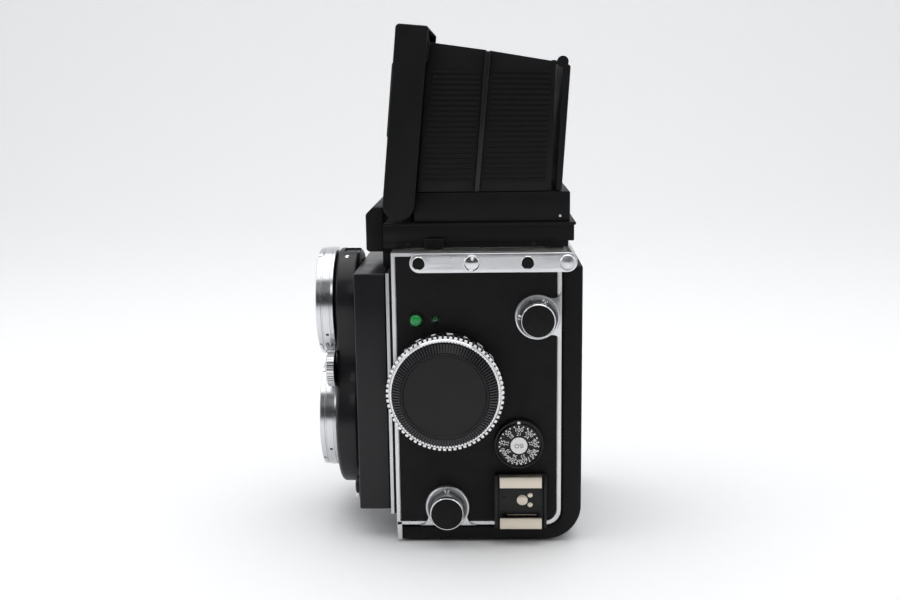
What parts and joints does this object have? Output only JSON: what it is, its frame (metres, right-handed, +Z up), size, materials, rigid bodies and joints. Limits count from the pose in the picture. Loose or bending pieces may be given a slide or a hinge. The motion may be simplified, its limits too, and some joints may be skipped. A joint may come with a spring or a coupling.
{
  "type": "twin lens reflex camera",
  "caption": "Twin lens reflex camera for roll film with a raised folding hood, a sliding lens front, side controls and a hinged back.",
  "frame": {"origin": "middle of the footprint rectangle, on the floor under the feet", "axes": "+Z up, -Y the way the lenses look, +X the side with the focus knob"},
  "size_m": [0.109, 0.106, 0.203],
  "materials": {
    "casting": "satin",
    "leatherette": "grained",
    "bright_trim": "satin",
    "chrome_parts": "polished",
    "black_paint": "satin",
    "black_plastic": "matte",
    "lens_glass": "coated",
    "mirror_glass": "silvered",
    "screen_glass": "ground",
    "green_plastic": "gloss",
    "lamp_plastic": "gloss",
    "brass_contact": "plated",
    "battery_steel": "satin",
    "roller_steel": "satin"
  },
  "bodies": {
    "body": {"body_casting": "casting", "cover_left": "leatherette", "cover_right": "leatherette", "frame_left": "bright_trim", "frame_right": "bright_trim", "strap_plate_left": "bright_trim", "strap_plate_right": "bright_trim", "nose_block": "black_plastic", "spool_base_upper": "chrome_parts", "spool_base_lower": "chrome_parts", "iso_ring": "black_plastic", "shoe_base": "black_plastic", "shoe_contact": "brass_contact", "shoe_rail_top": "brass_contact", "shoe_rail_low": "brass_contact", "button_bezel": "black_plastic", "indicator_lamp": "lamp_plastic", "crank_base": "bright_trim", "counter_window": "lens_glass", "focus_bed": "casting", "roller_low": "roller_steel", "roller_top": "roller_steel", "mirror": "mirror_glass", "focusing_screen": "screen_glass", "hood_base": "black_paint", "hood_wall_left": "black_paint", "hood_wall_right": "black_paint", "hood_wall_rear": "black_paint"},
    "supply": {"supply_spool": "black_plastic"},
    "take_up": {"take_up_spool": "black_plastic"},
    "door": {"back_door": "leatherette", "pressure_plate": "black_paint", "tripod_bush": "chrome_parts"},
    "latch": {"door_latch": "chrome_parts"},
    "front": {"front_standard": "black_paint", "lens_housing": "black_paint", "view_barrel": "chrome_parts", "view_glass": "lens_glass", "take_barrel": "chrome_parts", "take_glass": "lens_glass", "release_collar": "chrome_parts"},
    "aperture": {"aperture_wheel": "chrome_parts"},
    "shutter": {"shutter_wheel": "chrome_parts"},
    "release": {"release_button": "chrome_parts"},
    "sync": {"sync_lever": "black_paint"},
    "focus": {"focus_knob": "chrome_parts", "battery": "battery_steel"},
    "cap": {"battery_cap": "black_plastic"},
    "iso": {"iso_dial": "black_plastic"},
    "upper_knob": {"spool_knob_upper": "chrome_parts"},
    "lower_knob": {"spool_knob_lower": "chrome_parts"},
    "meter": {"meter_button": "green_plastic"},
    "crank": {"crank_arm": "bright_trim"},
    "handle": {"crank_handle": "black_plastic"},
    "lid": {"hood_lid": "black_paint"},
    "flap": {"finder_flap": "black_paint"},
    "magnifier": {"magnifier_frame": "black_plastic", "magnifier_glass": "lens_glass"},
    "catch": {"hood_catch": "black_paint"}
  },
  "joints": [
    {"name": "focus_turn", "type": "hinge", "parent": "body", "child": "focus", "pos_m": [0.045, 0, 0.0642], "axis": [1, 0, 0], "range_deg": [0, 301]},
    {"name": "front_slide", "type": "slide", "parent": "body", "child": "front", "axis": [0, -1, 0], "range_m": [0, 0.01]},
    {"name": "battery_cap_turn", "type": "hinge", "parent": "focus", "child": "cap", "pos_m": [0.052, 0, 0.0642], "axis": [1, 0, 0], "range_deg": [0, 60]},
    {"name": "iso_turn", "type": "hinge", "parent": "body", "child": "iso", "pos_m": [0.042, 0.0283, 0.0414], "axis": [1, 0, 0], "range_deg": [0, 320]},
    {"name": "upper_knob_pull", "type": "slide", "parent": "body", "child": "upper_knob", "axis": [1, 0, 0], "range_m": [0, 0.0045], "stiffness_N_per_m": 150, "springref_m": -0.004},
    {"name": "lower_knob_pull", "type": "slide", "parent": "body", "child": "lower_knob", "axis": [1, 0, 0], "range_m": [0, 0.0045], "stiffness_N_per_m": 150, "springref_m": -0.004},
    {"name": "meter_press", "type": "slide", "parent": "body", "child": "meter", "axis": [-1, 0, 0], "range_m": [0, 0.0005], "stiffness_N_per_m": 400, "springref_m": -0.002},
    {"name": "take_up_turn", "type": "hinge", "parent": "body", "child": "take_up", "pos_m": [0, 0.0345, 0.0922], "axis": [1, 0, 0], "continuous": true},
    {"name": "supply_turn", "type": "hinge", "parent": "body", "child": "supply", "pos_m": [0, -0.0003, 0.0162], "axis": [1, 0, 0], "continuous": true},
    {"name": "crank_turn", "type": "hinge", "parent": "body", "child": "crank", "pos_m": [-0.045, 0.006, 0.084], "axis": [-1, 0, 0], "continuous": true},
    {"name": "crank_handle_turn", "type": "hinge", "parent": "crank", "child": "handle", "pos_m": [-0.05, 0.006, 0.057], "axis": [-1, 0, 0], "continuous": true},
    {"name": "aperture_turn", "type": "hinge", "parent": "front", "child": "aperture", "pos_m": [0.0198, -0.0475, 0.067], "axis": [0, -1, 0], "range_deg": [0, 180]},
    {"name": "shutter_turn", "type": "hinge", "parent": "front", "child": "shutter", "pos_m": [-0.0198, -0.0475, 0.067], "axis": [0, -1, 0], "range_deg": [0, 240]},
    {"name": "release_press", "type": "slide", "parent": "front", "child": "release", "axis": [0, 1, 0], "range_m": [0, 0.0014], "stiffness_N_per_m": 300, "springref_m": -0.002},
    {"name": "sync_turn", "type": "hinge", "parent": "front", "child": "sync", "pos_m": [0.028, -0.037, 0.02], "axis": [0, -1, 0], "range_deg": [-30, 30]},
    {"name": "door_swing", "type": "hinge", "parent": "body", "child": "door", "pos_m": [0, 0.0493, 0.1139], "axis": [1, 0, 0], "range_deg": [0, 105]},
    {"name": "latch_swing", "type": "hinge", "parent": "body", "child": "latch", "pos_m": [0, -0.0221, 0.0096], "axis": [-1, 0, 0], "range_deg": [0, 80]},
    {"name": "lid_fold", "type": "hinge", "parent": "body", "child": "lid", "pos_m": [0, -0.0176, 0.135], "axis": [-1, 0, 0], "range_deg": [0, 84.4], "stiffness_Nm_per_rad": 0.05, "springref_deg": -34.38, "deforming": ["hood_wall_left", "hood_wall_right", "hood_wall_rear"]},
    {"name": "flap_swing", "type": "hinge", "parent": "lid", "child": "flap", "pos_m": [0, -0.01724, 0.18782], "axis": [-1, 0, 0], "range_deg": [-80, 0]},
    {"name": "magnifier_swing", "type": "hinge", "parent": "lid", "child": "magnifier", "pos_m": [0, -0.01436, 0.19055], "axis": [-1, 0, 0], "range_deg": [-88.5, 0.5]},
    {"name": "catch_slide", "type": "slide", "parent": "body", "child": "catch", "axis": [0, 1, 0], "range_m": [0, 0.004], "stiffness_N_per_m": 120, "springref_m": -0.003}
  ],
  "couplings": [
    {"joint": "focus_turn", "follows": "front_slide", "rad_per_m": 523.6},
    {"joint": "magnifier_swing", "follows": "flap_swing", "ratio": 1.1}
  ]
}
